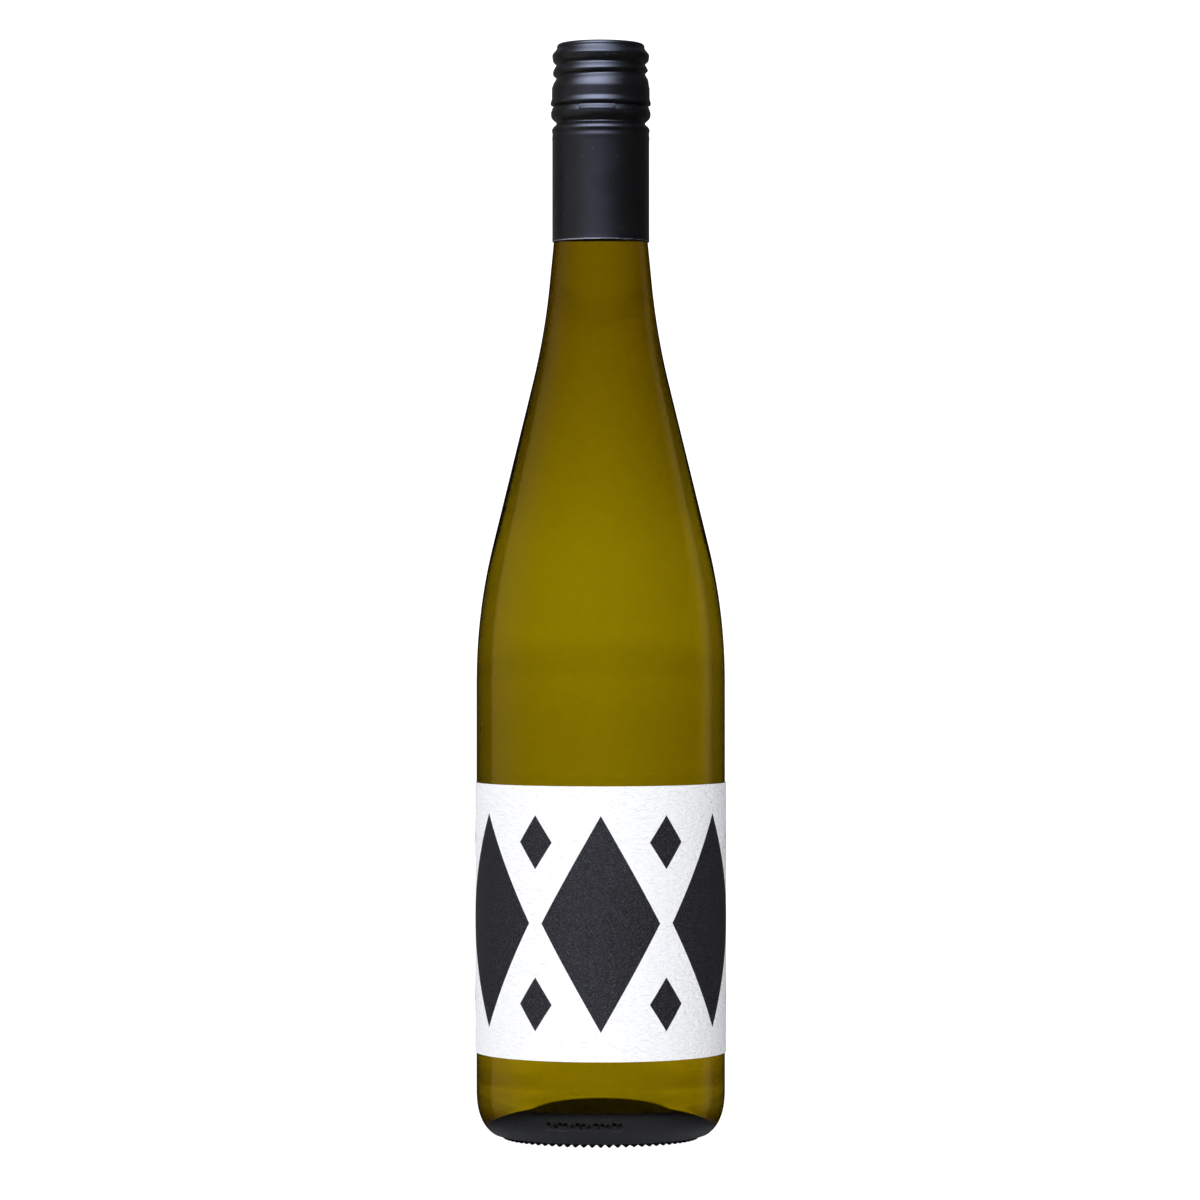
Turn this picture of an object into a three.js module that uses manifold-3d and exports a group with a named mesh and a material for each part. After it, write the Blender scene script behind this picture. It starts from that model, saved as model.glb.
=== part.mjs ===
// A full 750 ml flute bottle of white wine: olive glass, an aluminium screw capsule and a paper label.
// Millimetres, +Z up. The origin is the middle of the ring that it stands on, and the front faces -Y.
import * as THREE from 'three';
import { mergeVertices } from 'three/addons/utils/BufferGeometryUtils.js';
import Module from 'manifold-3d';

const wasm = await Module();
wasm.setup();

// Glass, outside
const bodyRadius = 37.56;
const shoulderHeight = 138.2; // where the straight wall ends
const shoulderArc = 171.2;
const coneAngle = THREE.MathUtils.degToRad(13.77); // of the shoulder's straight flank, from upright
const neckArcHeight = 227.9; // where the flank starts to curve into the neck
const neckArc = 216;
const neckTaper = THREE.MathUtils.degToRad(5.6);
const finishRadius = 12.6; // plain end of the neck, inside the capsule
const brimHeight = 328.4;

// Glass, foot and inside
const heelHeight = 15.1;
const heelReach = 11.1; // how far the heel draws in to the standing ring
const heelFullness = 2.45; // exponent of the heel's curve, 2 being an ellipse
const ringWidth = 2.9;
const pushUp = 10.2; // rise of the dome under the bottle
const wall = 2.8;
const shoulderWall = -0.52; // how much the wall gains in the shoulder
const neckWall = 1.25; // and then from the shoulder to the neck
const floorTop = 12.9; // the inner floor is flatter than the dome under it
const floorRadius = 50;
const cornerRadius = 6.5; // between the inner floor and the wall
const ringOuter = bodyRadius - heelReach;
const ringInner = ringOuter - ringWidth;
const domeRadius = (ringInner ** 2 + pushUp ** 2) / (2 * pushUp);
const domeCentre = pushUp - domeRadius;

// Bearing notches round the foot
const notchCount = 72;
const notchInner = 26.9;
const notchOuter = 32.6;
const notchRise = 1.7;
const notchSize = 0.9;
const notchLift = 0.6; // how far the notch's centre line lies below the glass

// Wine
const wineClearance = 0.3;
const wineLevel = 275;

// Capsule
const capsuleTop = 330.9;
const skirtEnd = 270.9;
const skirtRadius = 14.65;
const skirtWall = 0.25;
const rimFlare = 0.1;
const rimHeight = 1.6;
const topThickness = 2; // aluminium and the liner below it
const topEdge = 0.9; // radius of the rounded edge
const topRadius = 13.2;
const threadRadius = 14.5;
const threadBore = 13.05;
const bandBore = 14.25;
const rolledBeads = [
  // radius and height of each bead and hollow, upwards from the skirt
  [skirtRadius, 300.6],
  [14.46, 303.2],
  [14.7, 304.4],
  [13.55, 306.6], // tucked under the glass's locking ring
  [14.6, 308.2],
  [15.03, 309.6],
  [14.65, 311.4],
  [15.1, 312.6], // lip above the tear line
  [14.85, 313.9],
  [14.85, 318.5],
  [threadRadius, 319.4],
  [threadRadius, 326.1],
  [14.65, 327.1],
  [14.05, 328.7],
  [13.3, 329.1],
];
const boreSteps = [
  // radius and height inside, downwards from the liner
  [threadBore, 318.9],
  [bandBore, 318.1],
  [bandBore, 309.2],
  [threadBore, 307.6],
  [threadBore, 305.7],
  [14.15, 303.9],
  [skirtRadius - skirtWall, 300.2],
];
const threadStart = 325.2; // height of the thread's groove at the right-hand side
const threadPitch = 3.43;
const threadTurns = 1.72;
const grooveRadius = 1.1;
const grooveCentre = 14.56;
const grooveRunOut = 0.12; // share of the groove that fades in, and that fades out
const grooveLift = 1.27; // how far its ends rise out of the wall
const slitCount = 8;
const slitHeight = 0.6;
const slitLevel = 311.6;
const slitMargin = 0.8; // past the wall, on both sides
const bridgeAngle = THREE.MathUtils.degToRad(3.8);
const slitTurn = THREE.MathUtils.degToRad(-94);

// Label
const labelRadius = 37.9;
const paper = 0.15;
const labelBottom = 26.2;
const labelHeight = 81.4;
const labelGap = 34; // open strip at the back

// How finely the round shapes are cut
const glassSides = 72;
const wineSides = 48;
const capsuleSides = 48;
const labelSteps = 36;
const sideSteps = 3; // in each long curve of the side
const heelSteps = 5;
const floorSteps = 3;
const threadStepsPerTurn = 24;

// Points on an arc round (x, y), from one angle to another, both ends included
function arcPoints(x, y, radius, from, to, steps) {
  return Array.from({ length: steps + 1 }, (_, i) => {
    const a = from + ((to - from) * i) / steps;
    return new THREE.Vector2(x + radius * Math.cos(a), y + radius * Math.sin(a));
  });
}

// The bottle's side from the heel to the end of the neck's taper, moved inwards by inset
function sideProfile(inset) {
  const shoulderX = bodyRadius - shoulderArc;
  const shoulder = arcPoints(shoulderX, shoulderHeight, shoulderArc - inset, 0, coneAngle, sideSteps);
  const flankTop = shoulderHeight + shoulderArc * Math.sin(coneAngle);
  const flankRadius = bodyRadius - shoulderArc * (1 - Math.cos(coneAngle));
  const arcStartRadius = flankRadius - (neckArcHeight - flankTop) * Math.tan(coneAngle);
  const centreX = arcStartRadius + neckArc * Math.cos(coneAngle);
  const centreY = neckArcHeight + neckArc * Math.sin(coneAngle);
  const from = Math.PI + coneAngle;
  const to = Math.PI + neckTaper;
  const neck = arcPoints(centreX, centreY, neckArc + inset, from, to, sideSteps);
  const taperRadius = centreX - neckArc * Math.cos(neckTaper);
  const taperStart = centreY - neckArc * Math.sin(neckTaper);
  const taperTop = taperStart + (taperRadius - finishRadius) / Math.tan(neckTaper);
  const end = new THREE.Vector2(finishRadius - inset, taperTop - inset * Math.tan(neckTaper / 2));
  return [...shoulder, ...neck, end];
}

// How far the blown wall departs from its even thickness at a height
function extraWall(height) {
  const thin = THREE.MathUtils.smoothstep(height, 100, 168);
  return shoulderWall * thin + neckWall * THREE.MathUtils.smoothstep(height, 172, 256);
}

// The hollow from the middle of its floor to the end of the neck's taper, made smaller by clearance
function hollowProfile(clearance) {
  const floorCentre = floorTop - floorRadius;
  const cornerX = bodyRadius - wall - cornerRadius;
  const cornerY = floorCentre + Math.sqrt((floorRadius + cornerRadius) ** 2 - cornerX ** 2);
  const meet = Math.atan2(cornerY - floorCentre, cornerX);
  const floor = arcPoints(0, floorCentre, floorRadius + clearance, Math.PI / 2, meet, floorSteps);
  const corner = arcPoints(cornerX, cornerY, cornerRadius - clearance, meet - Math.PI, 0, floorSteps + 1);
  floor[0].x = 0;
  const side = sideProfile(wall + clearance).map((p) => new THREE.Vector2(p.x - extraWall(p.y), p.y));
  return [...floor, ...corner.slice(1), ...side];
}

// Under the foot: dome, flat standing ring and the full curve of the heel
function footProfile() {
  const domeEnd = Math.asin(-domeCentre / domeRadius);
  const dome = arcPoints(0, domeCentre, domeRadius, Math.PI / 2, domeEnd, floorSteps);
  dome[0].x = 0;
  dome.at(-1).y = 0;
  const heel = Array.from({ length: heelSteps + 1 }, (_, i) => {
    const a = ((1 - i / heelSteps) * Math.PI) / 2;
    const across = Math.max(Math.cos(a), 0) ** (2 / heelFullness);
    const down = Math.sin(a) ** (2 / heelFullness);
    return new THREE.Vector2(ringOuter + heelReach * across, heelHeight * (1 - down));
  });
  return [...dome, ...heel];
}

// A profile of (radius, height) points turned round the Z axis
function turned(profile, sides) {
  return new THREE.LatheGeometry(profile, sides).rotateX(Math.PI / 2);
}

function toSolid(geometry) {
  const bare = geometry.clone();
  bare.deleteAttribute('normal');
  bare.deleteAttribute('uv');
  const merged = mergeVertices(bare, 1e-4);
  const vertProperties = merged.attributes.position.array;
  const triVerts = new Uint32Array(merged.index.array);
  return new wasm.Manifold(new wasm.Mesh({ numProp: 3, vertProperties, triVerts }));
}

function toGeometry(solid) {
  const mesh = solid.getMesh();
  const geometry = new THREE.BufferGeometry();
  geometry.setAttribute('position', new THREE.BufferAttribute(mesh.vertProperties, 3));
  geometry.setIndex(new THREE.BufferAttribute(mesh.triVerts, 1));
  return geometry;
}

// One notch of the foot: a four-sided bar that follows the underside of the heel outwards
function notchGeometry(turn) {
  const reach = notchOuter - notchInner;
  const slope = Math.atan2(notchRise, reach);
  const bar = new THREE.CylinderGeometry(notchSize, notchSize, Math.hypot(reach, notchRise), 4);
  bar.rotateZ(Math.PI / 2);
  bar.rotateY(-slope);
  bar.translate((notchInner + notchOuter) / 2, 0, notchRise / 2 - notchLift);
  bar.rotateZ(turn);
  return bar;
}

function glassGeometry() {
  const outside = [...footProfile(), ...sideProfile(0), new THREE.Vector2(finishRadius, brimHeight)];
  const bore = finishRadius - wall - extraWall(brimHeight);
  const inside = [...hollowProfile(0), new THREE.Vector2(bore, brimHeight)];
  let solid = toSolid(turned([...outside, ...inside.reverse()], glassSides));
  for (let i = 0; i < notchCount; i++) {
    const turn = ((i + 0.5) * 2 * Math.PI) / notchCount;
    solid = solid.subtract(toSolid(notchGeometry(turn)));
  }
  return toGeometry(solid);
}

// The neck above the taper is empty, so the wine ends in the taper
function wineGeometry() {
  const profile = hollowProfile(wineClearance);
  const below = profile.filter((p) => p.y < wineLevel);
  const [low, high] = [below.at(-1), profile[below.length]];
  const share = (wineLevel - low.y) / (high.y - low.y);
  const surface = [low.clone().lerp(high, share), new THREE.Vector2(0, wineLevel)];
  return turned([...below, ...surface], wineSides);
}

// Centre line of the thread's rolled groove, shallow at both ends
class ThreadPath extends THREE.Curve {
  getPoint(t, target = new THREE.Vector3()) {
    const turn = -t * threadTurns * 2 * Math.PI;
    const height = threadStart + (threadPitch * turn) / (2 * Math.PI);
    const fade = Math.max(0, 1 - Math.min(t, 1 - t) / grooveRunOut);
    const radius = grooveCentre + grooveLift * fade * fade;
    return target.set(radius * Math.cos(turn), radius * Math.sin(turn), height);
  }
}

function threadGroove() {
  const section = new THREE.Shape();
  section.absarc(0, 0, grooveRadius, 0, 2 * Math.PI);
  const steps = Math.round(threadTurns * threadStepsPerTurn);
  return new THREE.ExtrudeGeometry(section, { curveSegments: 7, steps, extrudePath: new ThreadPath() });
}

// One cut of the tear line, between two bridges
function slitGeometry(turn) {
  const [inner, outer] = [bandBore - slitMargin, skirtRadius + slitMargin];
  const half = Math.PI / slitCount - bridgeAngle / 2;
  const sector = new THREE.Shape();
  sector.absarc(0, 0, outer, turn - half, turn + half, false);
  sector.absarc(0, 0, inner, turn + half, turn - half, true);
  const options = { curveSegments: 4, depth: slitHeight, bevelEnabled: false };
  return new THREE.ExtrudeGeometry(sector, options).translate(0, 0, slitLevel);
}

function capsuleGeometry() {
  const inside = [
    [0, capsuleTop - topThickness],
    [threadBore, capsuleTop - topThickness],
    ...boreSteps,
    [skirtRadius - skirtWall + rimFlare, skirtEnd],
  ];
  const outside = [[skirtRadius + rimFlare, skirtEnd], [skirtRadius, skirtEnd + rimHeight], ...rolledBeads];
  const sides = [...inside, ...outside].map(([radius, height]) => new THREE.Vector2(radius, height));
  const edge = arcPoints(topRadius - topEdge, capsuleTop - topEdge, topEdge, 0, Math.PI / 2, 2);
  const profile = [...sides, ...edge, new THREE.Vector2(0, capsuleTop)];
  let solid = toSolid(turned(profile, capsuleSides));
  solid = solid.subtract(toSolid(threadGroove()));
  for (let i = 0; i < slitCount; i++) {
    const turn = slitTurn + (i * 2 * Math.PI) / slitCount;
    solid = solid.subtract(toSolid(slitGeometry(turn)));
  }
  return toGeometry(solid);
}

// A strip of paper bent round the body, open at the back
function labelGeometry() {
  const back = Math.PI / 2;
  const half = labelGap / 2 / labelRadius;
  const [from, to] = [back + half, back - half + 2 * Math.PI];
  const strip = new THREE.Shape();
  strip.absarc(0, 0, labelRadius, from, to, false);
  strip.absarc(0, 0, labelRadius - paper, to, from, true);
  const options = { curveSegments: labelSteps, depth: labelHeight, bevelEnabled: false };
  return new THREE.ExtrudeGeometry(strip, options).translate(0, 0, labelBottom);
}

const oliveGlass = new THREE.MeshStandardMaterial({
  color: 0x857004,
  roughness: 0.06,
  metalness: 0,
  transparent: true,
  opacity: 0.6,
});
const whiteWine = new THREE.MeshStandardMaterial({ color: 0xd9cf86, roughness: 0.03, metalness: 0 });
const blackAluminium = new THREE.MeshStandardMaterial({ color: 0x24252b, roughness: 0.42, metalness: 0.55 });
const labelPaper = new THREE.MeshStandardMaterial({ color: 0xf6f6f4, roughness: 0.85, metalness: 0 });

const pieces = {
  glass_bottle: [glassGeometry(), oliveGlass],
  wine: [wineGeometry(), whiteWine],
  screw_capsule: [capsuleGeometry(), blackAluminium],
  label: [labelGeometry(), labelPaper],
};

const group = new THREE.Group();
for (const [name, [geometry, material]] of Object.entries(pieces)) {
  const mesh = new THREE.Mesh(geometry, material);
  mesh.name = name;
  group.add(mesh);
}

export default group;
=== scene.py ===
# A full flute bottle of white wine, dressed round its CAD model. Blender 4.5, metres.
import math

import bpy
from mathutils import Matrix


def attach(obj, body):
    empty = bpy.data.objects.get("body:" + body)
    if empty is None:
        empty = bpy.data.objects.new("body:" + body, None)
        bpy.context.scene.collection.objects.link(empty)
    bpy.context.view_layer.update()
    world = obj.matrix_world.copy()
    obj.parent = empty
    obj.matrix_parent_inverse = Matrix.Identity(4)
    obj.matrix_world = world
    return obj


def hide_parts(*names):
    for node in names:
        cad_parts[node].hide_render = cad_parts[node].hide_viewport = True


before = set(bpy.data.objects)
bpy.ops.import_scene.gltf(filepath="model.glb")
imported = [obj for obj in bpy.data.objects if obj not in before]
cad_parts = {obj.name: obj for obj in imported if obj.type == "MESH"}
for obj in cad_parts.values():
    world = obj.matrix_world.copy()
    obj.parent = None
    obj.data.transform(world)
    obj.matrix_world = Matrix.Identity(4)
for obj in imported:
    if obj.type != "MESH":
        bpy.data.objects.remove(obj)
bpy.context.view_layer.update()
root = "root"
mm = 0.001


# Photograph and camera
shot = {
    "size": 1200,  # pixels, square
    "pixel": 0.3026 * mm,  # real size of a pixel at the bottle's axis
    "distance": 4975,  # camera to axis, in pixels
    "axisOffset": 0.78,  # the axis stands this far right of the middle
    "footBelowMiddle": 537.4,  # pixels from the middle of the picture down to the table
    "sensor": 36.0,
    "clip": (0.05, 60),  # metres
}


def makeCamera():
    data = bpy.data.cameras.new("camera")
    data.sensor_width = shot["sensor"]
    data.lens = shot["sensor"] * shot["distance"] / shot["size"]
    data.clip_start, data.clip_end = shot["clip"]
    camera = bpy.data.objects.new("camera", data)
    camera.location = (
        -shot["axisOffset"] * shot["pixel"],
        -shot["distance"] * shot["pixel"],
        shot["footBelowMiddle"] * shot["pixel"],
    )
    camera.rotation_euler = (math.radians(90), 0, 0)
    bpy.context.scene.collection.objects.link(camera)
    bpy.context.scene.camera = camera


def srgb(hexCode):
    # sRGB hex to the linear colour that shaders use
    values = [int(hexCode[i : i + 2], 16) / 255 for i in (1, 3, 5)]
    linear = [v / 12.92 if v <= 0.04045 else ((v + 0.055) / 1.055) ** 2.4 for v in values]
    return (*linear, 1.0)


def newMaterial(name):
    material = bpy.data.materials.new(name)
    material.use_nodes = True
    material.node_tree.nodes.clear()
    return material, material.node_tree


def addNode(tree, kind, settings=None, inputs=None):
    # adds one node: settings are its own options, inputs its socket values or the sockets wired into it
    node = tree.nodes.new(kind)
    for key, value in (settings or {}).items():
        setattr(node, key, value)
    for key, value in (inputs or {}).items():
        if isinstance(value, bpy.types.NodeSocket):
            tree.links.new(value, node.inputs[key])
        else:
            node.inputs[key].default_value = value
    return node


creaseAngle = math.radians(32)  # edges sharper than this stay crisp


def meshObject(name, verts, faces, smooth=True):
    mesh = bpy.data.meshes.new(name)
    mesh.from_pydata(verts, [], faces)
    mesh.validate()
    mesh.update()
    if smooth:
        mesh.shade_smooth()
        mesh.set_sharp_from_angle(angle=creaseAngle)
    obj = bpy.data.objects.new(name, mesh)
    bpy.context.scene.collection.objects.link(obj)
    return obj


def evenTurns(sides):
    return [2 * math.pi * side / sides for side in range(sides)]


def turnedMesh(name, profile, turns, shape=None):
    # profile runs from the axis to the axis, in mm; shape(radius, height, turn, index) may move a point
    verts, faces, rings = [], [], []
    for index, (radius, height) in enumerate(profile):
        if radius < 1e-6:
            rings.append([len(verts)])
            verts.append((0, 0, height * mm))
            continue
        ring = []
        for turn in turns:
            r, z = (radius, height) if shape is None else shape(radius, height, turn, index)
            ring.append(len(verts))
            verts.append((r * mm * math.cos(turn), r * mm * math.sin(turn), z * mm))
        rings.append(ring)
    for low, high in zip(rings, rings[1:]):
        for side in range(len(turns)):
            after = (side + 1) % len(turns)
            if len(low) == 1:
                faces.append((low[0], high[after], high[side]))
            elif len(high) == 1:
                faces.append((low[side], low[after], high[0]))
            else:
                faces.append((low[side], low[after], high[after], high[side]))
    return meshObject(name, verts, faces)


def arcPoints(x, y, radius, start, end, steps):
    angles = [start + (end - start) * i / steps for i in range(steps + 1)]
    return [(x + radius * math.cos(a), y + radius * math.sin(a)) for a in angles]


def smoothStep(low, high, x):
    t = min(1, max(0, (x - low) / (high - low)))
    return t * t * (3 - 2 * t)


def softWindow(edges, x):
    # 1 between the two middle edges, easing to 0 at the outer two
    return smoothStep(edges[0], edges[1], x) * (1 - smoothStep(edges[2], edges[3], x))


# The bottle's glass, in millimetres
bottle = {
    "bodyRadius": 37.56,
    "shoulderHeight": 138.2,
    "shoulderArc": 171.2,
    "coneAngle": math.radians(13.77),
    "neckArcHeight": 227.9,
    "neckArc": 216.0,
    "neckTaper": math.radians(5.6),
    "finishRadius": 12.6,
    "brimHeight": 328.4,
    "heelHeight": 15.1,
    "heelReach": 11.1,
    "heelFullness": 2.45,
    "ringWidth": 2.9,
    "pushUp": 10.2,
    "wall": 2.8,
    "shoulderWall": -0.52,  # the blown wall is this much thinner in the shoulder
    "shoulderSpan": (100, 168),  # heights over which it thins
    "neckWall": 1.25,  # and gains this much from there to the neck
    "neckSpan": (172, 256),
    "floorTop": 12.9,  # the inner floor is flatter than the dome under it
    "floorRadius": 50.0,
    "cornerRadius": 6.5,
    "sides": 288,  # four to each bearing notch
    "steps": {"shoulder": 30, "neck": 24, "finish": 20, "dome": 24, "heel": 72, "floor": 30, "corner": 24},
    "notchCount": 72,
    "notchDepth": 0.7,
    "notchReach": (22.5, 24.5, 29.6, 33.0),  # radii between which the standing ring is cut back
    "studReach": (27.4, 28.4, 29.2, 30.6),  # and those between which a stud is left beside each notch
    "footTop": 12,  # the foot has no notches or marks above this
}

# Row of raised points left by the mould on the front of the heel
mouldMarks = {
    "from": math.radians(-115),
    "to": math.radians(-81),
    "count": 13,
    "height": 6.6,
    "lift": 0.5,
    "size": [0.85, 0.6, 1.0],  # half widths, in turn
    "tall": 1.5,  # how much taller than wide they are
    "crown": 0.6,  # share of a point's width that is raised fully
    "margin": 0.05,
    "finer": 4,  # columns of the mesh for each ordinary one
}


def sideProfile(inset, blown=False):
    # the bottle's side from the heel to the straight end of the neck, inset by the wall; a blown one is
    # uneven in thickness
    b = bottle
    steps = b["steps"]
    cone, taper = b["coneAngle"], b["neckTaper"]
    shoulderX = b["bodyRadius"] - b["shoulderArc"]
    shoulderArc = b["shoulderArc"] - inset
    shoulder = arcPoints(shoulderX, b["shoulderHeight"], shoulderArc, 0, cone, steps["shoulder"])
    flankTop = b["shoulderHeight"] + b["shoulderArc"] * math.sin(cone)
    flankRadius = b["bodyRadius"] - b["shoulderArc"] * (1 - math.cos(cone))
    arcRadius = flankRadius - (b["neckArcHeight"] - flankTop) * math.tan(cone)
    centreX = arcRadius + b["neckArc"] * math.cos(cone)
    centreY = b["neckArcHeight"] + b["neckArc"] * math.sin(cone)
    neck = arcPoints(
        centreX, centreY, b["neckArc"] + inset, math.pi + cone, math.pi + taper, steps["neck"]
    )
    taperRadius = centreX - b["neckArc"] * math.cos(taper)
    taperStart = centreY - b["neckArc"] * math.sin(taper)
    taperTop = taperStart + (taperRadius - b["finishRadius"]) / math.tan(taper)
    end = (b["finishRadius"] - inset, taperTop - inset * math.tan(taper / 2))
    last, count = neck[-1], steps["finish"]
    straight = [tuple(a + (e - a) * i / count for a, e in zip(last, end)) for i in range(1, count + 1)]
    points = [*shoulder, *neck, *straight]
    return [(r - blownWall(z), z) for r, z in points] if blown else points


def blownWall(z):
    # how far the wall's thickness departs from the even one at a height
    shoulder = bottle["shoulderWall"] * smoothStep(*bottle["shoulderSpan"], z)
    return shoulder + bottle["neckWall"] * smoothStep(*bottle["neckSpan"], z)


def domeShape():
    ringInner = bottle["bodyRadius"] - bottle["heelReach"] - bottle["ringWidth"]
    radius = (ringInner**2 + bottle["pushUp"] ** 2) / (2 * bottle["pushUp"])
    return radius, bottle["pushUp"] - radius


def footProfile():
    b = bottle
    radius, centre = domeShape()
    dome = arcPoints(0, centre, radius, math.pi / 2, math.asin(-centre / radius), b["steps"]["dome"])
    dome[0] = (0, dome[0][1])
    dome[-1] = (dome[-1][0], 0)
    ringOuter = b["bodyRadius"] - b["heelReach"]
    heel = []
    for i in range(b["steps"]["heel"] + 1):
        a = (1 - i / b["steps"]["heel"]) * math.pi / 2
        across = max(math.cos(a), 0) ** (2 / b["heelFullness"])
        down = math.sin(a) ** (2 / b["heelFullness"])
        heel.append((ringOuter + b["heelReach"] * across, b["heelHeight"] * (1 - down)))
    return [*dome, *heel]


def hollowProfile(grow=0.0):
    # the inside of the glass from the middle of its floor upwards, made larger by grow
    b = bottle
    floorRadius = b["floorRadius"]
    centre = b["floorTop"] - floorRadius
    cornerX = b["bodyRadius"] - b["wall"] - b["cornerRadius"]
    cornerY = centre + math.sqrt((floorRadius + b["cornerRadius"]) ** 2 - cornerX**2)
    meet = math.atan2(cornerY - centre, cornerX)
    floor = arcPoints(0, centre, floorRadius - grow, math.pi / 2, meet, b["steps"]["floor"])
    floor[0] = (0, floor[0][1])
    cornerSteps = b["steps"]["corner"]
    corner = arcPoints(cornerX, cornerY, b["cornerRadius"] + grow, meet - math.pi, 0, cornerSteps)
    return [*floor, *corner[1:], *sideProfile(b["wall"] - grow, True)]


def glassTurns():
    # even steps round the bottle, and finer ones at the mould marks and a few columns to each side
    step = 2 * math.pi / bottle["sides"]
    turns = []
    for side in range(bottle["sides"]):
        turn = side * step - math.pi
        marked = mouldMarks["from"] - step * 4 < turn < mouldMarks["to"] + step * 3
        count = mouldMarks["finer"] if marked else 1
        turns += [turn + step * i / count for i in range(count)]
    return turns


def footShape(radius, height, turn):
    # bearing notches: the standing ring is cut back but for short studs at its outer edge
    b, marks = bottle, mouldMarks
    if height > b["footTop"] or radius < b["notchReach"][0]:
        return radius, height
    stud = (0.5 + 0.5 * math.cos(b["notchCount"] * turn)) * softWindow(b["studReach"], radius)
    height = (height + b["notchDepth"] * softWindow(b["notchReach"], radius)) * (1 - stud)
    if marks["from"] - marks["margin"] < turn < marks["to"] + marks["margin"]:
        pitch = (marks["to"] - marks["from"]) / (marks["count"] - 1)
        nearest = round((turn - marks["from"]) / pitch)
        size = marks["size"][nearest % len(marks["size"])]
        across = (turn - marks["from"] - nearest * pitch) * radius
        away = math.hypot(across, (height - marks["height"]) / marks["tall"]) / size
        if 0 <= nearest < marks["count"]:
            radius += marks["lift"] * (1 - smoothStep(marks["crown"], 1.0, away))
    return radius, height


def makeGlass():
    foot = footProfile()
    outside = [*foot, *sideProfile(0), (bottle["finishRadius"], bottle["brimHeight"])]
    boreRadius = bottle["finishRadius"] - bottle["wall"] - blownWall(bottle["brimHeight"])
    inside = [*hollowProfile(), (boreRadius, bottle["brimHeight"])]

    def shape(radius, height, turn, index):
        return footShape(radius, height, turn) if index < len(foot) else (radius, height)

    return turnedMesh("bottleGlass", [*outside, *reversed(inside)], glassTurns(), shape)


# The wine, in millimetres
wineFill = {
    "level": 275.0,
    "reach": 0.08,  # into the glass, so that no air lies between them
    "meniscus": 1.2,  # the surface curls up this much at the wall
    "curl": [(0.0, 0.8), (0.6, 0.3), (2.0, 0.0)],  # distances from the wall and shares of the meniscus
}


def makeWine():
    level = wineFill["level"]
    profile = hollowProfile(wineFill["reach"])
    below = [p for p in profile if p[1] < level]
    low, high = below[-1], profile[len(below)]
    edge = low[0] + (high[0] - low[0]) * (level - low[1]) / (high[1] - low[1])
    curl = [(edge - inwards, level + wineFill["meniscus"] * share) for inwards, share in wineFill["curl"]]
    return turnedMesh("wineFill", [*below, *curl, (0, level)], evenTurns(bottle["sides"]))


# The rolled aluminium capsule, in millimetres
capsule = {
    "sides": 320,
    "rows": [(271.0, 0.1, 18), (273.0, 2.8, 10), (301.0, 0.15, 194)],  # of the mesh: first, pitch, number
    "skirtEnd": 270.9,
    "edgeWall": 0.3,
    "edgeBevel": 0.05,
    "bareEdge": 0.25,  # the trimmed edge is bare up to this height
    "outline": [  # height and radius of each bead and hollow, upwards
        (270.9, 14.69),
        (271.3, 14.70),
        (272.7, 14.67),
        (300.9, 14.67),
        (302.2, 14.72),
        (303.5, 14.62),
        (304.7, 14.84),
        (309.7, 15.08),
        (311.4, 14.66),
        (312.65, 15.17),
        (314.4, 14.80),
        (316.95, 14.80),
        (319.1, 14.50),
        (325.4, 14.50),
        (327.2, 14.68),
        (329.6, 13.26),
        (329.9, 13.25),
    ],
    "topRadius": 12.0,
    "topRing": 4.0,  # width of a ring of faces that keeps the top flat
    "crownSteps": 12,
    "top": 330.9,
    "tuckHeight": 306.7,  # groove rolled in under the glass's locking ring
    "tuckDepth": 1.5,
    "tuckAbove": 1.15,
    "tuckBelow": 1.1,
    "threadPath": [  # turns along the rolled thread and its height: a level start, then it runs down
        (-0.3, 324.7),
        (0.5, 324.5),
        (1.0, 321.7),
        (1.5, 320.4),
        (1.7, 319.9),
    ],
    "threadDepth": 1.0,
    "threadAbove": 0.65,  # half width of the groove above its centre line
    "threadBelow": 1.35,
    "threadFade": 0.14,  # turns over which it fades in and out
    "slitCount": 8,
    "slitTurn": math.radians(-94.4),
    "slitHalf": math.radians(20.6),
    "slitFade": 0.02,
    "lipTop": 311.5,
    "otherLips": 0.2,  # the lips of the other slits flare this much as far as the front one
    "slitShape": [  # height and depth down through a slit: dark gap, then the flared lower lip
        (312.25, 0.0),
        (312.05, 0.55),
        (311.62, 0.55),
        (311.5, 0.14),
        (310.45, -0.16),
        (309.7, 0.0),
    ],
    "bore": 13.05,
    "boreSpan": (301.5, 299.5),  # below it the inside widens to the skirt's
    "linerHeight": 328.9,
}


def capsuleOutline(height):
    # radius of the plain rolled outline, eased from bead to hollow
    for (low, r0), (high, r1) in zip(capsule["outline"], capsule["outline"][1:]):
        if height <= high:
            return r0 + (r1 - r0) * smoothStep(low, high, height)
    return capsule["outline"][-1][1]


def heightAlong(path, along):
    for (a0, h0), (a1, h1) in zip(path, path[1:]):
        if along <= a1:
            return h0 + (h1 - h0) * (along - a0) / (a1 - a0)
    return path[-1][1]


def threadDepth(height, turn):
    # how deep the thread is rolled in: a right-handed groove that starts at the right and runs down
    c = capsule
    fade = c["threadFade"]
    path = c["threadPath"]
    first, last = path[0][0], path[-1][0]
    start = (-turn / (2 * math.pi) - first) % 1 + first
    depth = 0
    for along in (start, start + 1):
        run = softWindow((first, first + fade, last - fade, last), along)
        away = height - heightAlong(path, along)
        away /= c["threadAbove"] if away > 0 else c["threadBelow"]
        depth += c["threadDepth"] * run * math.exp(-away * away)
    return depth


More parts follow.
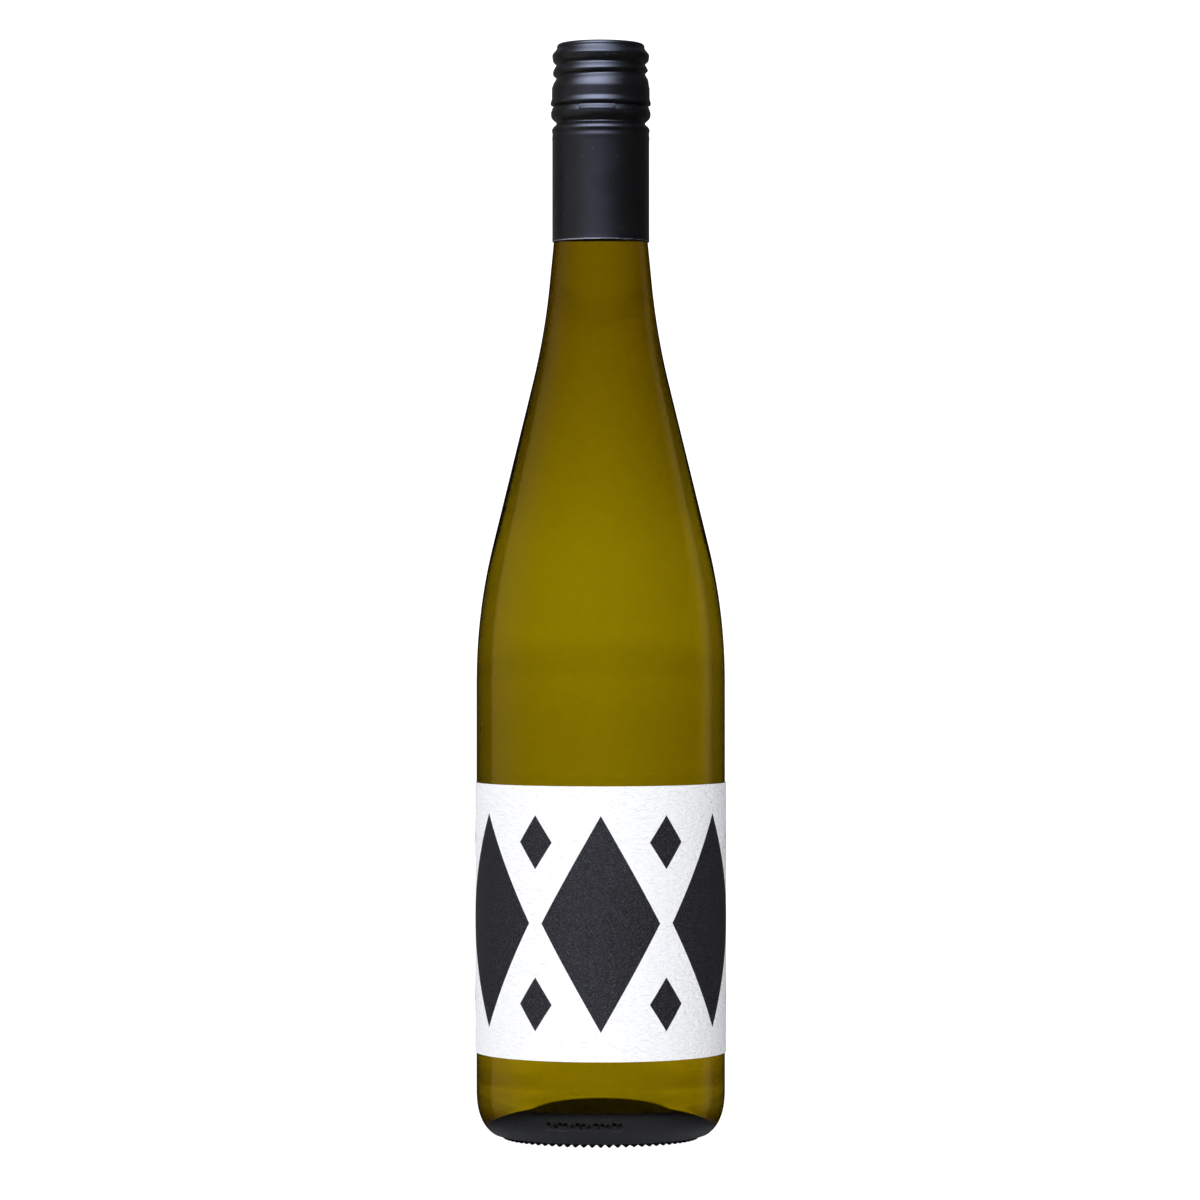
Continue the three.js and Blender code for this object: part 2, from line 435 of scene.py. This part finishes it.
def slitDepth(height, turn):
    # tear line: eight slits between bridges, each with its lower lip flared to a ramp
    c = capsule
    pitch = 2 * math.pi / c["slitCount"]
    nearest = round((turn - c["slitTurn"]) / pitch) % c["slitCount"]
    away = abs((turn - c["slitTurn"] + pitch / 2) % pitch - pitch / 2)
    cut = 1 - smoothStep(c["slitHalf"] - c["slitFade"], c["slitHalf"] + c["slitFade"], away)
    for (high, d0), (low, d1) in zip(c["slitShape"], c["slitShape"][1:]):
        if low <= height < high:
            lip = c["otherLips"] if nearest and low < c["lipTop"] else 1
            return cut * lip * (d0 + (d1 - d0) * (high - height) / (high - low))
    return 0.0


def capsuleShape(radius, height, turn):
    c = capsule
    away = height - c["tuckHeight"]
    width = c["tuckAbove"] if away > 0 else c["tuckBelow"]
    radius -= c["tuckDepth"] * math.exp(-((away / width) ** 2))
    return radius - threadDepth(height, turn) - slitDepth(height, turn), height


def makeCapsule():
    c = capsule
    innerRadius = c["outline"][0][1] - c["edgeWall"]
    inside = [(0, c["linerHeight"]), (c["bore"], c["linerHeight"]), (c["bore"], c["boreSpan"][0])]
    inside += [(innerRadius, c["boreSpan"][1]), (innerRadius, c["skirtEnd"])]
    heights = [first + pitch * i for first, pitch, count in c["rows"] for i in range(count)]
    edge = (c["outline"][0][1] - c["edgeBevel"], c["skirtEnd"])
    outside = [edge, *[(capsuleOutline(z), z) for z in heights]]
    lastRadius, lastHeight = outside[-1]
    dome = []
    for i in range(1, c["crownSteps"] + 1):
        a = i / c["crownSteps"] * math.pi / 2
        across = c["topRadius"] + (lastRadius - c["topRadius"]) * math.cos(a)
        dome.append((across, lastHeight + (c["top"] - lastHeight) * math.sin(a)))
    crown = [*dome, (c["topRadius"] - c["topRing"], c["top"]), (0, c["top"])]
    firstRolled = len(inside) + 1
    lastRolled = firstRolled + len(heights)

    def shape(radius, height, turn, index):
        return capsuleShape(radius, height, turn) if firstRolled <= index < lastRolled else (radius, height)

    piece = turnedMesh("screwCapsule", [*inside, *outside, *crown], evenTurns(c["sides"]), shape)
    piece.data.materials.append(lacqueredAluminium())
    piece.data.materials.append(bareAluminium())
    for face in piece.data.polygons:
        if face.center.z < (c["skirtEnd"] + c["bareEdge"]) * mm:
            face.material_index = 1
    return piece


# The wrap-round label, in millimetres; its front is at turn -90 degrees
label = {
    "radius": 37.9,
    "paper": 0.15,
    "bottom": 26.2,
    "height": 81.4,
    "gap": 34.0,  # open strip at the back
    "columns": 200,
    "ink": 0.025,  # how far the print stands proud
    "inkRoot": 0.03,  # and how far it reaches into the paper
    "tip": 0.01,  # half height of a diamond's blunt tips
    "pitch": 40.8,  # of the large diamonds
    "large": (36.5, 64.0),
    "small": (11.0, 16.0),
    "largeCount": 5,
}


def bentSheet(name, outlines, outer, inner):
    # closed sheets bent round the bottle; each outline is a list of (along, low, high) columns in mm
    verts, faces = [], []
    for columns in outlines:
        first = len(verts)
        for along, low, high in columns:
            turn = along / label["radius"] - math.pi / 2
            for radius, height in ((outer, low), (outer, high), (inner, high), (inner, low)):
                verts.append((radius * mm * math.cos(turn), radius * mm * math.sin(turn), height * mm))
        for i in range(len(columns) - 1):
            a = first + 4 * i
            b = a + 4
            for k in range(4):
                after = (k + 1) % 4
                faces.append((a + k, b + k, b + after, a + after))
        faces.append(tuple(first + k for k in range(4)))
        last = first + 4 * (len(columns) - 1)
        faces.append(tuple(last + k for k in (3, 2, 1, 0)))
    return meshObject(name, verts, faces, smooth=False)


def makeLabel():
    half = math.pi * label["radius"] - label["gap"] / 2
    top = label["bottom"] + label["height"]
    columns = []
    for i in range(label["columns"] + 1):
        columns.append((half * (2 * i / label["columns"] - 1), label["bottom"], top))
    return bentSheet("labelPaper", [columns], label["radius"], label["radius"] - label["paper"])


def diamond(along, middle, size, steps=24):
    halfWidth, halfHeight = size[0] / 2, size[1] / 2
    columns = []
    for i in range(steps + 1):
        share = 2 * i / steps - 1
        reach = max(label["tip"], halfHeight * (1 - abs(share)))
        columns.append((along + halfWidth * share, middle - reach, middle + reach))
    return columns


def makePrint():
    # plain harlequin: a row of tall diamonds with small ones between them, above and below
    count = label["largeCount"]
    middle = label["bottom"] + label["height"] / 2
    aside = (label["large"][1] - label["small"][1]) / 2
    shapes = [diamond((i - (count - 1) / 2) * label["pitch"], middle, label["large"]) for i in range(count)]
    for i in range(count - 1):
        along = (i - (count - 2) / 2) * label["pitch"]
        shapes += [diamond(along, middle + side * aside, label["small"]) for side in (-1, 1)]
    radius = label["radius"]
    return bentSheet("labelPrint", shapes, radius + label["ink"], radius - label["inkRoot"])


clearMedia = {
    # soda-lime container glass in dead-leaf olive, blown in a mould: clear, its tint grows with depth
    "sodaLimeGlassOlive": {"ior": 1.52, "tint": "#eee900", "density": 1500.0},
    # dry white wine: clear, a faint straw tint over the width of a bottle
    "whiteWine": {"ior": 1.343, "tint": "#fcf6a0", "density": 6.0},
}


def clearMaterial(name):
    # a clear body that light is bent and tinted by; density is per metre
    medium = clearMedia[name]
    material, tree = newMaterial(name)
    surface = addNode(
        tree,
        "ShaderNodeBsdfPrincipled",
        inputs={
            "Base Color": srgb("#ffffff"),
            "Roughness": 0.0,
            "IOR": medium["ior"],
            "Transmission Weight": 1.0,
        },
    )
    tint = addNode(
        tree,
        "ShaderNodeVolumeAbsorption",
        inputs={"Color": srgb(medium["tint"]), "Density": medium["density"]},
    )
    sockets = {"Surface": surface.outputs[0], "Volume": tint.outputs[0]}
    addNode(tree, "ShaderNodeOutputMaterial", inputs=sockets)
    return material


lacquer = {
    "black": "#0b0b0c",
    "worn": "#131314",
    "speck": "#6f6f6a",
    "cloud": 6.0,  # mm across a patch of slightly duller lacquer
    "peel": 0.35,  # mm between the ripples of the roller-coated film
    "ripple": 0.004,  # mm, their height
    "speckPitch": 3.2,  # mm between specks of dust and rubs
    "speckEdge": (0.03, 0.07),  # shares of that pitch, from a speck's middle to its edge
    "speckShare": 0.6,
    "roughness": (0.29, 0.33),
}


def lacqueredAluminium():
    # aluminium sheet, roller-coated with satin black lacquer before drawing: soft cool sheen, tiny rubs
    material, tree = newMaterial("lacqueredAluminiumBlack")
    place = addNode(tree, "ShaderNodeTexCoord").outputs["Object"]
    cloud = addNode(
        tree,
        "ShaderNodeTexNoise",
        inputs={"Vector": place, "Scale": 1 / (lacquer["cloud"] * mm), "Detail": 4.0},
    )
    tone = addNode(
        tree,
        "ShaderNodeMix",
        {"data_type": "RGBA"},
        {0: cloud.outputs["Fac"], 6: srgb(lacquer["black"]), 7: srgb(lacquer["worn"])},
    )
    specks = addNode(
        tree, "ShaderNodeTexVoronoi", inputs={"Vector": place, "Scale": 1 / (lacquer["speckPitch"] * mm)}
    )
    isSpeck = addNode(
        tree,
        "ShaderNodeMapRange",
        inputs={
            "Value": specks.outputs["Distance"],
            "From Min": lacquer["speckEdge"][0],
            "From Max": lacquer["speckEdge"][1],
            "To Min": lacquer["speckShare"],
            "To Max": 0.0,
        },
    )
    colour = addNode(
        tree,
        "ShaderNodeMix",
        {"data_type": "RGBA"},
        {0: isSpeck.outputs[0], 6: tone.outputs[2], 7: srgb(lacquer["speck"])},
    )
    gloss = addNode(
        tree,
        "ShaderNodeMapRange",
        inputs={
            "Value": cloud.outputs["Fac"],
            "From Min": 0.35,
            "From Max": 0.65,
            "To Min": lacquer["roughness"][0],
            "To Max": lacquer["roughness"][1],
        },
    )
    peel = addNode(
        tree,
        "ShaderNodeTexNoise",
        inputs={"Vector": place, "Scale": 1 / (lacquer["peel"] * mm), "Detail": 2.0},
    )
    bump = addNode(
        tree,
        "ShaderNodeBump",
        inputs={"Strength": 1.0, "Distance": lacquer["ripple"] * mm, "Height": peel.outputs["Fac"]},
    )
    surface = addNode(
        tree,
        "ShaderNodeBsdfPrincipled",
        inputs={
            "Base Color": colour.outputs[2],
            "Roughness": gloss.outputs[0],
            "IOR": 1.5,
            "Normal": bump.outputs[0],
        },
    )
    addNode(tree, "ShaderNodeOutputMaterial", inputs={"Surface": surface.outputs[0]})
    return material


trimmedEdge = {"metal": "#b9b9bb", "grain": 0.2, "roughness": (0.35, 0.6)}  # grain in mm


def bareAluminium():
    # the same sheet where its trimmed edge is bare: bright metal, finely drawn by the cutter
    material, tree = newMaterial("bareAluminiumEdge")
    place = addNode(tree, "ShaderNodeTexCoord").outputs["Object"]
    grain = addNode(
        tree,
        "ShaderNodeTexNoise",
        inputs={"Vector": place, "Scale": 1 / (trimmedEdge["grain"] * mm), "Detail": 3.0},
    )
    gloss = addNode(
        tree,
        "ShaderNodeMapRange",
        inputs={
            "Value": grain.outputs["Fac"],
            "From Min": 0.3,
            "From Max": 0.7,
            "To Min": trimmedEdge["roughness"][0],
            "To Max": trimmedEdge["roughness"][1],
        },
    )
    surface = addNode(
        tree,
        "ShaderNodeBsdfPrincipled",
        inputs={"Base Color": srgb(trimmedEdge["metal"]), "Metallic": 1.0, "Roughness": gloss.outputs[0]},
    )
    addNode(tree, "ShaderNodeOutputMaterial", inputs={"Surface": surface.outputs[0]})
    return material


paperFinish = {
    "white": "#f7f8fc",
    # painted shade: the colour given to the hollows of the felt marks
    "shade": "#f4f5f9",
    "felt": 1.8,  # mm between the marks of the papermaker's felt
    "flatten": 2.6,  # the marks lie this much longer round the bottle than up it
    "relief": 0.75,  # mm
}


def feltPaper():
    # uncoated felt-marked paper: matt white, a soft irregular grain pressed by the felt, with painted shade
    # making the hollows of the marks a touch darker
    material, tree = newMaterial("feltMarkedPaper")
    place = addNode(tree, "ShaderNodeTexCoord").outputs["Object"]
    squeeze = addNode(
        tree,
        "ShaderNodeMapping",
        inputs={"Vector": place, "Scale": (1, 1, paperFinish["flatten"])},
    )
    felt = addNode(
        tree,
        "ShaderNodeTexNoise",
        inputs={
            "Vector": squeeze.outputs[0],
            "Scale": 1 / (paperFinish["felt"] * mm),
            "Detail": 2.0,
            "Roughness": 0.5,
            "Distortion": 0.5,
        },
    )
    # painted shade: the low parts of the felt take the darker colour, the high parts the white
    tone = addNode(
        tree,
        "ShaderNodeMix",
        {"data_type": "RGBA"},
        {0: felt.outputs["Fac"], 6: srgb(paperFinish["shade"]), 7: srgb(paperFinish["white"])},
    )
    bump = addNode(
        tree,
        "ShaderNodeBump",
        inputs={"Strength": 1.0, "Distance": paperFinish["relief"] * mm, "Height": felt.outputs["Fac"]},
    )
    surface = addNode(
        tree,
        "ShaderNodeBsdfPrincipled",
        inputs={
            "Base Color": tone.outputs[2],
            "Roughness": 0.8,
            "IOR": 1.45,
            "Specular IOR Level": 0.3,
            "Normal": bump.outputs[0],
        },
    )
    addNode(tree, "ShaderNodeOutputMaterial", inputs={"Surface": surface.outputs[0]})
    return material


inkFinish = {
    "black": "#1f1f21",
    # painted glints: the lighter tone laid on the grain's high points
    "thin": "#3c3c3f",
    "grain": 0.5,  # mm between the glints of the ink film
    "flatten": 1.4,
    "relief": 0.2,  # mm
    "thinning": (0.44, 0.7),  # the span of the grain's rise over which the painted glints come in
}


def blackInk():
    # offset ink on felt-marked paper: near black, a fine grain whose raised points are painted lighter as
    # glints
    material, tree = newMaterial("offsetInkBlack")
    place = addNode(tree, "ShaderNodeTexCoord").outputs["Object"]
    squeeze = addNode(
        tree,
        "ShaderNodeMapping",
        inputs={"Vector": place, "Scale": (1, 1, inkFinish["flatten"])},
    )
    grain = addNode(
        tree,
        "ShaderNodeTexNoise",
        inputs={"Vector": squeeze.outputs[0], "Scale": 1 / (inkFinish["grain"] * mm), "Detail": 2.0},
    )
    # painted glints: mask of where the grain rises
    thin = addNode(
        tree,
        "ShaderNodeMapRange",
        inputs={
            "Value": grain.outputs["Fac"],
            "From Min": inkFinish["thinning"][0],
            "From Max": inkFinish["thinning"][1],
        },
    )
    tone = addNode(
        tree,
        "ShaderNodeMix",
        {"data_type": "RGBA"},
        {0: thin.outputs[0], 6: srgb(inkFinish["black"]), 7: srgb(inkFinish["thin"])},
    )
    bump = addNode(
        tree,
        "ShaderNodeBump",
        inputs={"Strength": 1.0, "Distance": inkFinish["relief"] * mm, "Height": grain.outputs["Fac"]},
    )
    surface = addNode(
        tree,
        "ShaderNodeBsdfPrincipled",
        inputs={
            "Base Color": tone.outputs[2],
            "Roughness": 0.4,
            "IOR": 1.5,
            "Specular IOR Level": 0.12,
            "Normal": bump.outputs[0],
        },
    )
    addNode(tree, "ShaderNodeOutputMaterial", inputs={"Surface": surface.outputs[0]})
    return material


# The studio. Each panel of light is a soft-edged window in the direction it lies in, as (starts, full,
# full, ends). side and lift are degrees from straight behind the bottle and from level; x, y and z are
# the direction itself: x to the right, y away from the camera, z up, each from -1 to 1.
studio = {
    "backdrop": 1.3,  # what is seen round the bottle
    "through": [  # seen through the glass: a lit card behind it, darker room to the sides, dark above
        {"level": 0.53, "lift": (-99, -98, 5, 12)},
        {"level": 0.25, "side": (-2, -1, 36.3, 39.7), "lift": (-99, -98, 5, 12)},
        {"level": -0.11, "x": (-0.54, -0.44, -0.36, 0.08), "lift": (-99, -98, 5, 12)},
        {"level": -0.09, "lift": (-3.8, -2.6, -1.9, -0.7)},
        {"level": 0.02},
    ],
    "mirror": [  # mirrored in the glass: a dark room with a strip of light on each side
        {"level": 0.005},
        {"level": 0.085, "side": (55, 59, 76, 118), "x": (-3, -2, -0.2, 0)},
        {"level": 0.085, "side": (52, 56, 66, 78), "x": (0, 0.2, 2, 3)},
    ],
    "sheen": [  # caught by the lacquer and the ink
        {
            "level": 6.8,
            "colour": "#d3ddff",
            "x": (-0.65, -0.3, -0.05, 0.55),
            "y": (-3, -2, 0.0, 0.25),
            "z": (0.5, 0.8, 2, 3),
        },
        {
            "level": 14.0,
            "colour": "#d3ddff",
            "x": (-1.0, -0.35, -0.1, 0.75),
            "y": (-3, -2, -0.35, -0.1),
            "z": (0.25, 0.5, 0.6, 0.85),
        },
        {
            "level": 0.38,
            "colour": "#d0d8ff",
            "x": (-0.75, -0.35, 0.0, 0.34),
            "y": (-3, -2, -0.2, 0.1),
            "z": (-0.05, 0.13, 2, 3),
        },
        {"level": 0.30, "x": (-3, -2, -0.6, -0.3), "y": (-3, -2, 0.0, 0.4)},
        {"level": 0.05, "y": (0.4, 0.7, 2, 3)},
        {"level": 0.06, "x": (-3, -2, -0.2, 0.2), "y": (0.2, 0.5, 2, 3)},
        {"level": 0.012},
    ],
    "matt": [  # falls on paper and other matt surfaces
        {"level": 1.17, "x": (-0.75, -0.35, 0.5, 0.94), "y": (-3, -2, -0.3, 0.1)},
        {"level": 0.95, "x": (-3, -2, -0.85, -0.55)},
        {"level": 0.23},
    ],
}


def addPanels(tree, places, panels):
    # the summed glow of a list of panels, as a colour socket
    total = None
    for panel in panels:
        level = None
        for axis, coordinate in places.items():
            edges = panel.get(axis)
            if edges is None:
                continue
            rise = addNode(
                tree,
                "ShaderNodeMapRange",
                {"interpolation_type": "SMOOTHSTEP"},
                {"Value": coordinate, "From Min": edges[0], "From Max": edges[1]},
            )
            fall = addNode(
                tree,
                "ShaderNodeMapRange",
                {"interpolation_type": "SMOOTHSTEP"},
                {
                    "Value": coordinate,
                    "From Min": edges[2],
                    "From Max": edges[3],
                    "To Min": 1.0,
                    "To Max": 0.0,
                },
            )
            for part in (rise, fall):
                if level is None:
                    level = part.outputs[0]
                else:
                    level = addNode(
                        tree, "ShaderNodeMath", {"operation": "MULTIPLY"}, {0: level, 1: part.outputs[0]}
                    ).outputs[0]
        tint = srgb(panel.get("colour", "#ffffff"))
        colour = [channel * panel["level"] for channel in tint[:3]]
        glow = addNode(
            tree,
            "ShaderNodeVectorMath",
            {"operation": "SCALE"},
            {0: colour, "Scale": 1.0 if level is None else level},
        ).outputs[0]
        if total is None:
            total = glow
        else:
            total = addNode(
                tree, "ShaderNodeVectorMath", {"operation": "ADD"}, {0: total, 1: glow}
            ).outputs[0]
    return total


def makeWorld():
    world = bpy.data.worlds.new("studio")
    bpy.context.scene.world = world
    world.cycles.sampling_method = "NONE"
    world.use_nodes = True
    tree = world.node_tree
    tree.nodes.clear()
    path = addNode(tree, "ShaderNodeLightPath")
    place = addNode(tree, "ShaderNodeTexCoord")
    axes = addNode(tree, "ShaderNodeSeparateXYZ", inputs={"Vector": place.outputs["Generated"]})
    turn = addNode(
        tree, "ShaderNodeMath", {"operation": "ARCTAN2"}, {0: axes.outputs["X"], 1: axes.outputs["Y"]}
    )
    away = addNode(tree, "ShaderNodeMath", {"operation": "ABSOLUTE"}, {0: turn.outputs[0]})
    side = addNode(tree, "ShaderNodeMath", {"operation": "DEGREES"}, {0: away.outputs[0]})
    rise = addNode(tree, "ShaderNodeMath", {"operation": "ARCSINE"}, {0: axes.outputs["Z"]})
    lift = addNode(tree, "ShaderNodeMath", {"operation": "DEGREES"}, {0: rise.outputs[0]})
    places = {"side": side.outputs[0], "lift": lift.outputs[0]}
    places.update({axis.lower(): axes.outputs[axis] for axis in "XYZ"})
    isSheen = addNode(
        tree,
        "ShaderNodeMath",
        {"operation": "SUBTRACT", "use_clamp": True},
        {0: path.outputs["Is Glossy Ray"], 1: path.outputs["Is Singular Ray"]},
    )
    isMirror = addNode(
        tree,
        "ShaderNodeMath",
        {"operation": "MULTIPLY"},
        {0: path.outputs["Is Glossy Ray"], 1: path.outputs["Is Singular Ray"]},
    )
    colour = [studio["backdrop"]] * 3
    for isRay, name in (
        (path.outputs["Is Diffuse Ray"], "matt"),
        (isSheen.outputs[0], "sheen"),
        (isMirror.outputs[0], "mirror"),
        (path.outputs["Is Transmission Ray"], "through"),
    ):
        panels = addPanels(tree, places, studio[name])
        mixed = addNode(tree, "ShaderNodeMix", {"data_type": "VECTOR"}, {0: isRay, 4: colour, 5: panels})
        colour = mixed.outputs[1]
    glow = addNode(tree, "ShaderNodeBackground", inputs={"Color": colour, "Strength": 1.0})
    addNode(tree, "ShaderNodeOutputWorld", inputs={"Surface": glow.outputs[0]})


# The table: matt white, in the bottle's own shade close to it
table = {
    "white": 0.9,
    "lift": 0.8,  # share of even white light that keeps the contact shadow faint
    "shadeRadius": (50, 76),  # mm; seen through the glass it is dark inside this, lit as the card outside
    "shade": 0.02,
    "farRadius": (165, 225, 600, 900),  # mm; farther back, beside the axis, the table is lit more
    "farAside": (12, 60),
    "farGlow": 0.27,
    "poolFront": 40,  # mm; a pool of light in front of the foot is mirrored in the foot's glass
    "poolRadius": (12, 70),
    "contactRadius": (28, 37),  # and the bottle's own shade under it
    "glow": 0.52,
    "cool": "#f0f4ff",
    "edges": (4, 4, 9),  # metres to each side, in front and behind
}


def makeFloor():
    side, front, back = table["edges"]
    verts = [(-side, -front, 0), (side, -front, 0), (side, back, 0), (-side, back, 0)]
    floor = meshObject("studioFloor", verts, [(0, 1, 2, 3)], smooth=False)
    material, tree = newMaterial("mattWhiteTable")
    path = addNode(tree, "ShaderNodeLightPath")
    place = addNode(tree, "ShaderNodeTexCoord").outputs["Object"]
    reach = addNode(tree, "ShaderNodeVectorMath", {"operation": "LENGTH"}, {0: place}).outputs["Value"]
    beyond = addNode(
        tree,
        "ShaderNodeMapRange",
        {"interpolation_type": "SMOOTHSTEP"},
        {
            "Value": reach,
            "From Min": table["shadeRadius"][0] * mm,
            "From Max": table["shadeRadius"][1] * mm,
        },
    )
    pool = addNode(
        tree,
        "ShaderNodeVectorMath",
        {"operation": "DISTANCE"},
        {0: place, 1: (0, -table["poolFront"] * mm, 0)},
    ).outputs["Value"]
    near = addNode(
        tree,
        "ShaderNodeMapRange",
        {"interpolation_type": "SMOOTHSTEP"},
        {
            "Value": reach,
            "From Min": table["contactRadius"][0] * mm,
            "From Max": table["contactRadius"][1] * mm,
            "To Max": table["glow"],
        },
    )
    far = addNode(
        tree,
        "ShaderNodeMapRange",
        {"interpolation_type": "SMOOTHSTEP"},
        {
            "Value": pool,
            "From Min": table["poolRadius"][0] * mm,
            "From Max": table["poolRadius"][1] * mm,
            "To Min": 1.0,
            "To Max": 0.0,
        },
    )
    mirrored = addNode(
        tree, "ShaderNodeMath", {"operation": "MULTIPLY"}, {0: near.outputs[0], 1: far.outputs[0]}
    )
    level = addNode(
        tree,
        "ShaderNodeMix",
        {"data_type": "FLOAT"},
        {0: path.outputs["Is Transmission Ray"], 2: mirrored.outputs[0], 3: table["shade"]},
    )
    close = addNode(
        tree, "ShaderNodeEmission", inputs={"Color": srgb(table["cool"]), "Strength": level.outputs[0]}
    )
    aside = addNode(tree, "ShaderNodeSeparateXYZ", inputs={"Vector": place})
    across = addNode(tree, "ShaderNodeMath", {"operation": "ABSOLUTE"}, {0: aside.outputs["X"]})
    radii = table["farRadius"]
    lit = path.outputs["Is Transmission Ray"]
    for value, low, high, start, end in (
        (reach, radii[0], radii[1], 0.0, table["farGlow"]),
        (reach, radii[2], radii[3], 1.0, 0.0),
        (across.outputs[0], table["farAside"][0], table["farAside"][1], 0.0, 1.0),
    ):
        window = addNode(
            tree,
            "ShaderNodeMapRange",
            {"interpolation_type": "SMOOTHSTEP"},
            {"Value": value, "From Min": low * mm, "From Max": high * mm, "To Min": start, "To Max": end},
        )
        lit = addNode(
            tree, "ShaderNodeMath", {"operation": "MULTIPLY"}, {0: lit, 1: window.outputs[0]}
        ).outputs[0]
    farther = addNode(tree, "ShaderNodeEmission", inputs={"Color": (1, 1, 1, 1), "Strength": lit})
    transparent = addNode(tree, "ShaderNodeBsdfTransparent")
    clear = addNode(tree, "ShaderNodeAddShader", inputs={0: transparent.outputs[0], 1: farther.outputs[0]})
    unseen = addNode(
        tree, "ShaderNodeMixShader", inputs={0: beyond.outputs[0], 1: close.outputs[0], 2: clear.outputs[0]}
    )
    matt = addNode(tree, "ShaderNodeBsdfDiffuse", inputs={"Color": (table["white"],) * 3 + (1,)})
    white = srgb("#ffffff")
    even = addNode(tree, "ShaderNodeEmission", inputs={"Color": white, "Strength": studio["backdrop"]})
    seen = addNode(
        tree, "ShaderNodeMixShader", inputs={0: table["lift"], 1: matt.outputs[0], 2: even.outputs[0]}
    )
    surface = addNode(
        tree,
        "ShaderNodeMixShader",
        inputs={0: path.outputs["Is Camera Ray"], 1: unseen.outputs[0], 2: seen.outputs[0]},
    )
    addNode(tree, "ShaderNodeOutputMaterial", inputs={"Surface": surface.outputs[0]})
    floor.data.materials.append(material)
    floor.visible_diffuse = False


def dress(piece, node, material=None):
    # finishes a piece: its material, what it rides on and the node it stands for
    if material is not None:
        piece.data.materials.append(material)
    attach(piece, root)
    if node is not None:
        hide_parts(node)


makeCamera()
print("camera in place")

dress(makeGlass(), "glass_bottle", clearMaterial("sodaLimeGlassOlive"))
dress(makeWine(), "wine", clearMaterial("whiteWine"))
print("bottle filled")

dress(makeCapsule(), "screw_capsule")
print("capsule rolled on")

dress(makeLabel(), "label", feltPaper())
dress(makePrint(), None, blackInk())
print("label pasted")

makeFloor()
makeWorld()
bpy.context.scene.view_settings.view_transform = "Standard"
print("studio set")
